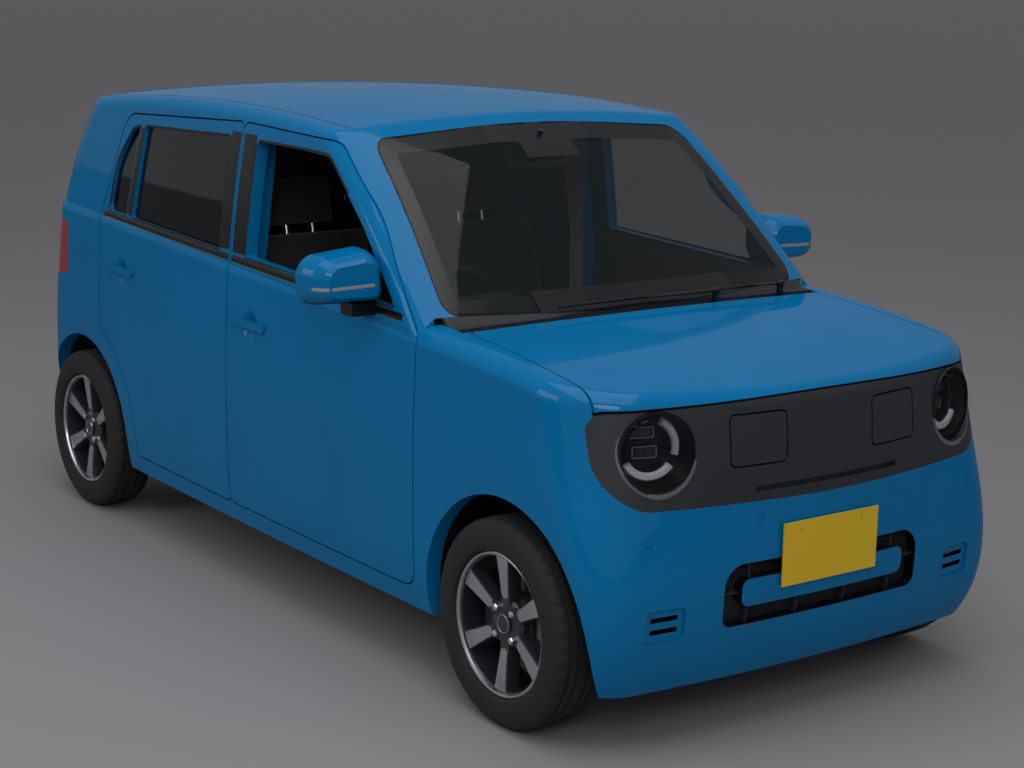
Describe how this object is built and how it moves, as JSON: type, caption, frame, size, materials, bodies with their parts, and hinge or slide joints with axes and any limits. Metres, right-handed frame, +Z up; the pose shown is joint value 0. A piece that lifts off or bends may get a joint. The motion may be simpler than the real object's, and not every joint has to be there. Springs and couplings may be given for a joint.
{
  "type": "kei car",
  "caption": "Small five-door electric city car with opening doors, bonnet, tailgate and charge lids, steered front wheels and a hollow furnished cabin.",
  "frame": {"origin": "on the ground, at the middle of the car's length and width", "axes": "+Z up; the nose points along -Y and the tail along +Y; +X is the car's left side"},
  "size_m": [1.8388, 3.395, 1.5104],
  "materials": {
    "paint": "gloss clear coat",
    "dark_plastic": "fine grain",
    "black_gloss": "gloss",
    "glass": "clear",
    "privacy_glass": "smoked",
    "lens": "clear",
    "tail_lens": "gloss",
    "chassis": "satin black",
    "alloy": "machined",
    "tyre": "matte",
    "fabric": "woven",
    "plate": "satin",
    "battery": "cast",
    "iron": "cast"
  },
  "bodies": {
    "body": {"body_side_left": "paint", "body_side_right": "paint", "roof": "paint", "front_fenders": "paint", "front_bumper": "paint", "front_panel": "dark_plastic", "lower_grille": "dark_plastic", "headlamps": "black_gloss", "headlamp_lenses": "lens", "front_plate": "plate", "windscreen": "glass", "cowl_cover": "dark_plastic", "rear_bumper": "paint", "tail_lamps": "tail_lens", "floor_pan": "chassis", "front_structure": "chassis", "battery_pack": "battery", "power_unit": "battery", "front_subframe": "chassis", "rear_axle": "chassis", "dashboard": "dark_plastic", "front_seats": "fabric", "rear_seat": "fabric", "inner_mirror": "black_gloss", "wipers": "dark_plastic"},
    "door_front_right": {"door_front_right": "paint", "mirror_right": "paint"},
    "door_rear_right": {"door_rear_right": "paint", "window_rear_right": "privacy_glass"},
    "charge_lid_right": {"charge_lid_right": "dark_plastic"},
    "knuckle_right": {"knuckle_right": "iron"},
    "wheel_front_right": {"tyre_front_right": "tyre", "wheel_front_right": "alloy"},
    "wheel_rear_right": {"tyre_rear_right": "tyre", "wheel_rear_right": "alloy"},
    "door_front_left": {"door_front_left": "paint", "mirror_left": "paint", "window_front_left": "glass"},
    "door_rear_left": {"door_rear_left": "paint", "window_rear_left": "privacy_glass"},
    "charge_lid_left": {"charge_lid_left": "dark_plastic"},
    "knuckle_left": {"knuckle_left": "iron"},
    "wheel_front_left": {"tyre_front_left": "tyre", "wheel_front_left": "alloy"},
    "wheel_rear_left": {"tyre_rear_left": "tyre", "wheel_rear_left": "alloy"},
    "bonnet": {"bonnet": "paint"},
    "tailgate": {"tailgate": "paint", "tailgate_window": "privacy_glass", "rear_plate": "plate"},
    "steering_wheel": {"steering_wheel": "dark_plastic"}
  },
  "joints": [
    {"name": "door_front_right_hinge", "type": "hinge", "parent": "body", "child": "door_front_right", "pos_m": [-0.7285, -0.853, 0.7], "axis": [0, 0, 1], "range_deg": [0, 68]},
    {"name": "door_rear_right_hinge", "type": "hinge", "parent": "body", "child": "door_rear_right", "pos_m": [-0.7345, 0.192, 0.7], "axis": [0, 0, 1], "range_deg": [0, 78]},
    {"name": "charge_lid_right_hinge", "type": "hinge", "parent": "body", "child": "charge_lid_right", "pos_m": [-0.3185, -1.657, 0.789], "axis": [0, 0, -1], "range_deg": [0, 100]},
    {"name": "steering_right", "type": "hinge", "parent": "body", "child": "knuckle_right", "pos_m": [-0.598, -1.2475, 0.186], "axis": [0.086, 0.013, 0.9962], "range_deg": [-33, 33]},
    {"name": "wheel_front_right_spin", "type": "hinge", "parent": "knuckle_right", "child": "wheel_front_right", "pos_m": [-0.6525, -1.2475, 0.276], "axis": [1, 0, 0], "continuous": true},
    {"name": "wheel_rear_right_spin", "type": "hinge", "parent": "body", "child": "wheel_rear_right", "pos_m": [-0.6525, 1.2725, 0.276], "axis": [1, 0, 0], "continuous": true},
    {"name": "door_front_left_hinge", "type": "hinge", "parent": "body", "child": "door_front_left", "pos_m": [0.7285, -0.853, 0.7], "axis": [0, 0, -1], "range_deg": [0, 68]},
    {"name": "door_rear_left_hinge", "type": "hinge", "parent": "body", "child": "door_rear_left", "pos_m": [0.7345, 0.192, 0.7], "axis": [0, 0, -1], "range_deg": [0, 78]},
    {"name": "charge_lid_left_hinge", "type": "hinge", "parent": "body", "child": "charge_lid_left", "pos_m": [0.3185, -1.657, 0.789], "axis": [0, 0, 1], "range_deg": [0, 100]},
    {"name": "steering_left", "type": "hinge", "parent": "body", "child": "knuckle_left", "pos_m": [0.598, -1.2475, 0.186], "axis": [-0.086, 0.013, 0.9962], "range_deg": [-33, 33]},
    {"name": "wheel_front_left_spin", "type": "hinge", "parent": "knuckle_left", "child": "wheel_front_left", "pos_m": [0.6525, -1.2475, 0.276], "axis": [1, 0, 0], "continuous": true},
    {"name": "wheel_rear_left_spin", "type": "hinge", "parent": "body", "child": "wheel_rear_left", "pos_m": [0.6525, 1.2725, 0.276], "axis": [1, 0, 0], "continuous": true},
    {"name": "bonnet_hinge", "type": "hinge", "parent": "body", "child": "bonnet", "pos_m": [0, -0.938, 0.987], "axis": [-1, 0, 0], "range_deg": [0, 55]},
    {"name": "tailgate_hinge", "type": "hinge", "parent": "body", "child": "tailgate", "pos_m": [0, 1.402, 1.456], "axis": [1, 0, 0], "range_deg": [0, 75]},
    {"name": "steering_wheel_turn", "type": "hinge", "parent": "body", "child": "steering_wheel", "pos_m": [-0.335, -0.395, 0.905], "axis": [0, 0.9, 0.436], "range_deg": [-500, 500]}
  ],
  "couplings": [
    {"joint": "steering_left", "follows": "steering_right", "ratio": 1},
    {"joint": "steering_wheel_turn", "follows": "steering_right", "ratio": 15}
  ]
}
